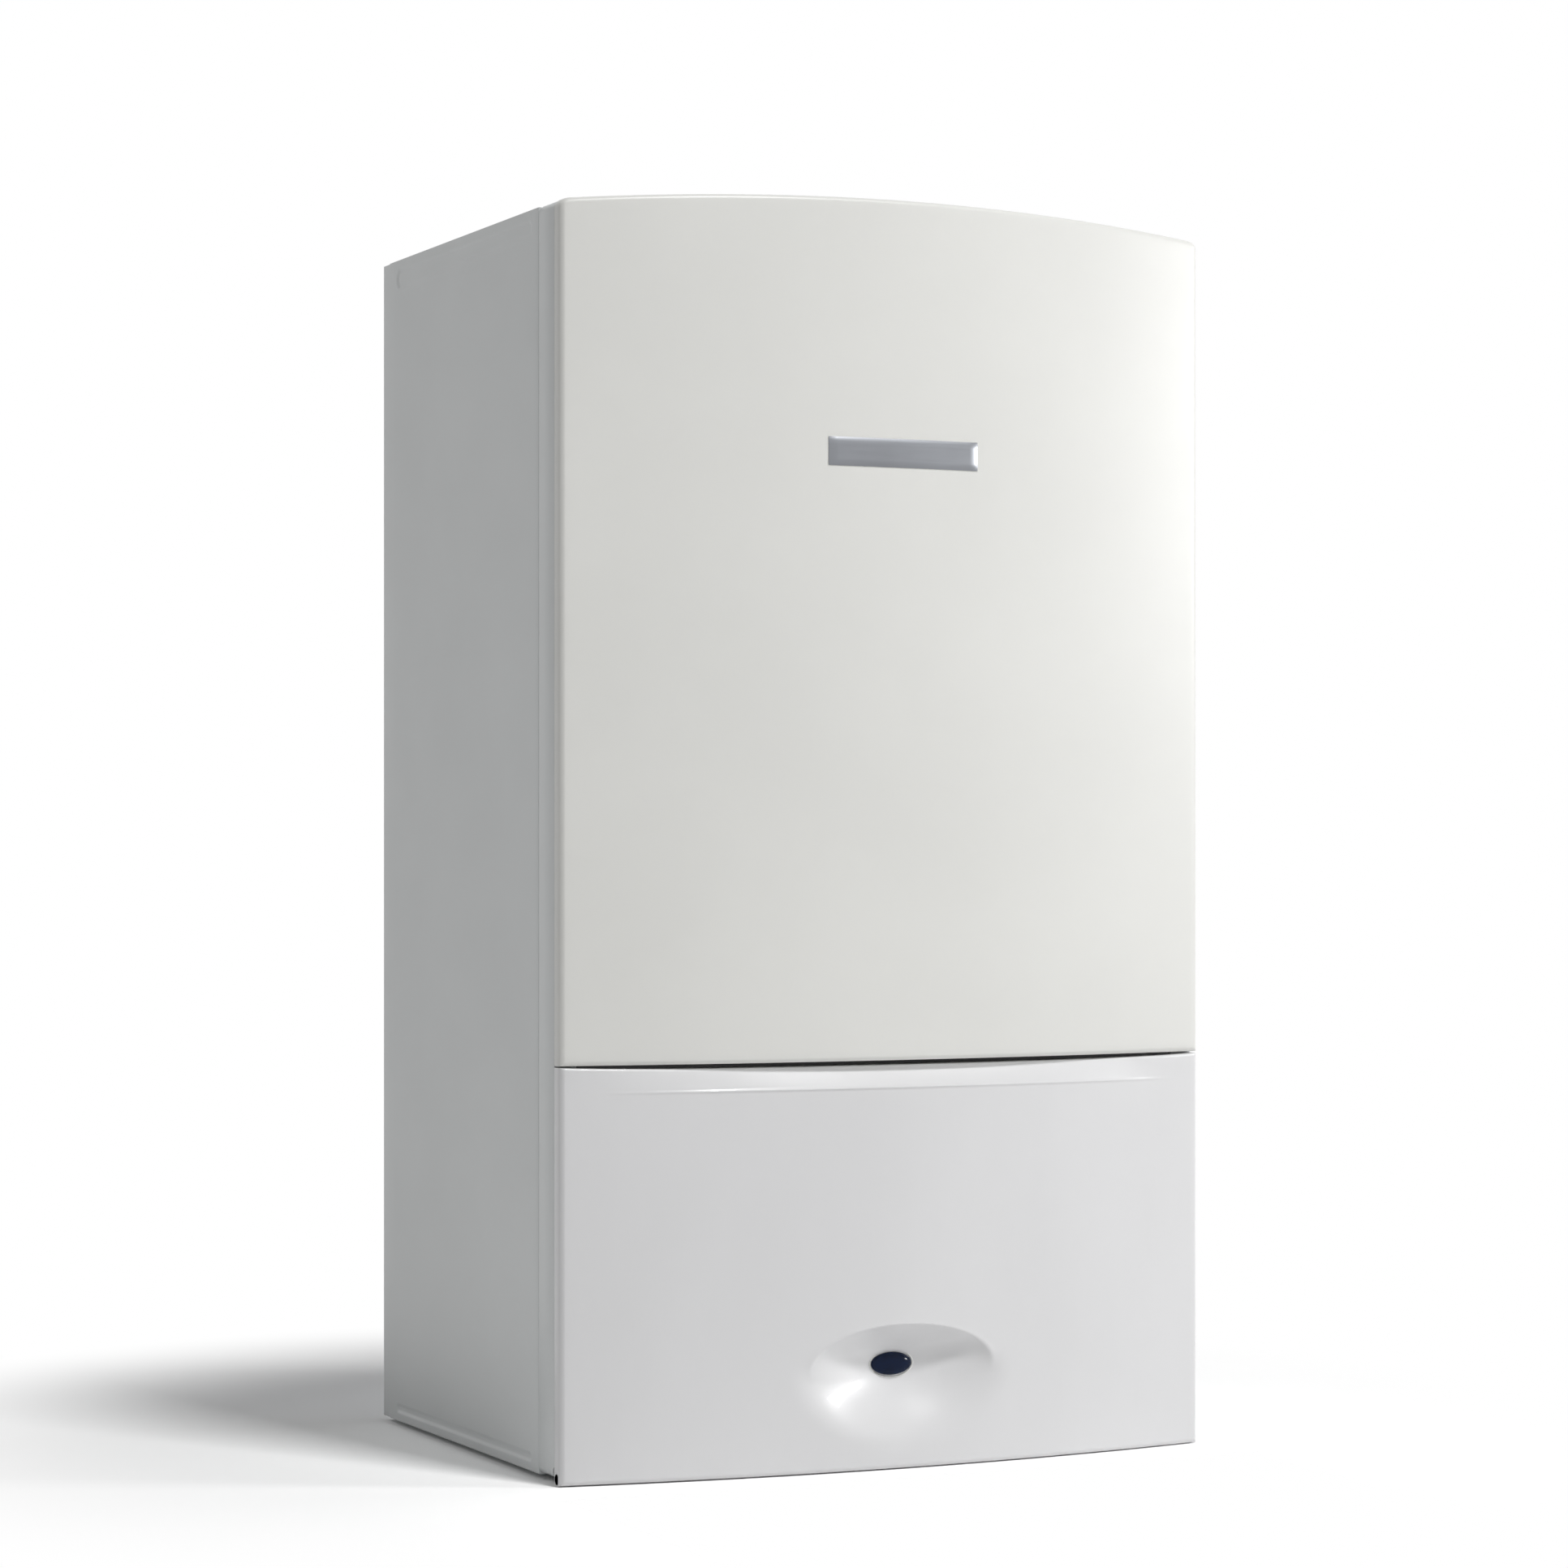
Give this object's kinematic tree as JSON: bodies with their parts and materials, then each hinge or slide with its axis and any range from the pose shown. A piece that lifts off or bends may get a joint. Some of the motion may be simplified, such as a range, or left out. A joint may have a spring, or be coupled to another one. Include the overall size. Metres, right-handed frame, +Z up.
{
  "type": "combi boiler",
  "caption": "Wall-hung combi boiler with a bowed front cover, a fold-down control flap with an indicator dish, and its burner and water parts inside.",
  "frame": {"origin": "under the middle of the boiler's bounding box, on the plane of its lowest edges", "axes": "+Z up, front faces -Y, +Y to the wall, viewer's left is -X"},
  "size_m": [0.4, 0.33, 0.71],
  "materials": {
    "cover_paint": "satin",
    "case_paint": "satin",
    "flap_plastic": "gloss",
    "grey_plastic": "matte",
    "dark_plastic": "matte",
    "black_plastic": "satin",
    "white_plastic": "satin",
    "navy_lens": "gloss",
    "clear_window": "gloss",
    "badge_chrome": "polished",
    "galvanised": "matte",
    "stainless": "brushed",
    "cast_aluminium": "matte",
    "brass": "satin",
    "copper": "satin",
    "vessel_paint": "satin",
    "board": "matte",
    "red_plastic": "satin"
  },
  "bodies": {
    "casing": {"side_panel_right": "case_paint", "side_panel_left": "case_paint", "top_panel": "case_paint", "front_frame": "case_paint", "condensate_trap": "grey_plastic", "diverter_actuator": "grey_plastic", "fan_motor": "dark_plastic", "gas_air_mixer": "dark_plastic", "air_intake_tube": "dark_plastic", "pump_motor": "dark_plastic", "flue_collar": "white_plastic", "flue_duct": "white_plastic", "ignition_electrode": "white_plastic", "back_panel": "galvanised", "base_plate": "galvanised", "hanging_rail": "galvanised", "wall_spacer": "galvanised", "drum_rail": "galvanised", "heat_exchanger": "stainless", "plate_heat_exchanger": "stainless", "burner_door": "cast_aluminium", "gas_air_duct": "cast_aluminium", "fan_housing": "cast_aluminium", "gas_valve": "cast_aluminium", "flow_block": "brass", "return_block": "brass", "air_vent": "brass", "relief_valve": "brass", "filling_valve": "brass", "tail_heating_flow": "brass", "tail_hot_water": "brass", "tail_gas": "brass", "tail_cold_water": "brass", "tail_heating_return": "brass", "gas_injector_pipe": "copper", "gas_pipe": "copper", "flow_pipe": "copper", "return_pipe": "copper", "expansion_vessel": "vessel_paint"},
    "front_cover": {"front_cover": "cover_paint", "badge_bar": "badge_chrome"},
    "control_box": {"control_tray": "grey_plastic", "control_fascia": "white_plastic", "circuit_board": "board", "display_window": "black_plastic", "gauge_case": "black_plastic", "gauge_glass": "clear_window"},
    "control_flap": {"control_flap": "flap_plastic", "lens_ring": "white_plastic", "indicator_lens": "navy_lens"},
    "heating_knob": {"heating_knob": "grey_plastic"},
    "hot_water_knob": {"hot_water_knob": "grey_plastic"},
    "mains_switch": {"mains_switch": "black_plastic"},
    "menu_button": {"menu_button": "grey_plastic"},
    "reset_button": {"reset_button": "grey_plastic"},
    "info_button": {"info_button": "grey_plastic"},
    "gauge_pointer": {"gauge_pointer": "red_plastic"},
    "fan_impeller": {"fan_impeller": "cast_aluminium"},
    "relief_knob": {"relief_knob": "red_plastic"},
    "filling_lever": {"filling_lever": "black_plastic"}
  },
  "joints": [
    {"name": "cover_lift_off", "type": "slide", "parent": "casing", "child": "front_cover", "axis": [0, -1, 0], "range_m": [0, 0.25]},
    {"name": "control_box_hinge", "type": "hinge", "parent": "casing", "child": "control_box", "pos_m": [0, -0.1408, 0.0033], "axis": [1, 0, 0], "range_deg": [0, 80]},
    {"name": "flap_hinge", "type": "hinge", "parent": "control_box", "child": "control_flap", "pos_m": [0, -0.1408, 0.0033], "axis": [1, 0, 0], "range_deg": [0, 90]},
    {"name": "heating_knob_turn", "type": "hinge", "parent": "control_box", "child": "heating_knob", "pos_m": [-0.09, -0.1347, 0.118], "axis": [0, 1, 0], "range_deg": [0, 270]},
    {"name": "hot_water_knob_turn", "type": "hinge", "parent": "control_box", "child": "hot_water_knob", "pos_m": [0.09, -0.1347, 0.118], "axis": [0, 1, 0], "range_deg": [0, 270]},
    {"name": "mains_switch_rock", "type": "hinge", "parent": "control_box", "child": "mains_switch", "pos_m": [0.15, -0.1277, 0.165], "axis": [1, 0, 0], "range_deg": [0, 8]},
    {"name": "menu_button_press", "type": "slide", "parent": "control_box", "child": "menu_button", "axis": [0, 1, 0], "range_m": [0, 0.0015], "stiffness_N_per_m": 400, "springref_m": -0.0005},
    {"name": "reset_button_press", "type": "slide", "parent": "control_box", "child": "reset_button", "axis": [0, 1, 0], "range_m": [0, 0.0015], "stiffness_N_per_m": 400, "springref_m": -0.0005},
    {"name": "info_button_press", "type": "slide", "parent": "control_box", "child": "info_button", "axis": [0, 1, 0], "range_m": [0, 0.0015], "stiffness_N_per_m": 400, "springref_m": -0.0005},
    {"name": "gauge_pointer_turn", "type": "hinge", "parent": "control_box", "child": "gauge_pointer", "pos_m": [-0.15, -0.1347, 0.165], "axis": [0, 1, 0], "range_deg": [-120, 120]},
    {"name": "fan_spin", "type": "hinge", "parent": "casing", "child": "fan_impeller", "pos_m": [0.12, -0.04, 0.345], "axis": [0, 1, 0], "continuous": true},
    {"name": "relief_knob_turn", "type": "hinge", "parent": "casing", "child": "relief_knob", "pos_m": [0.13, -0.0366, 0.064], "axis": [0, 1, 0], "range_deg": [0, 90]},
    {"name": "filling_lever_turn", "type": "hinge", "parent": "casing", "child": "filling_lever", "pos_m": [-0.065, -0.0346, 0.064], "axis": [0, 1, 0], "range_deg": [0, 90]}
  ]
}
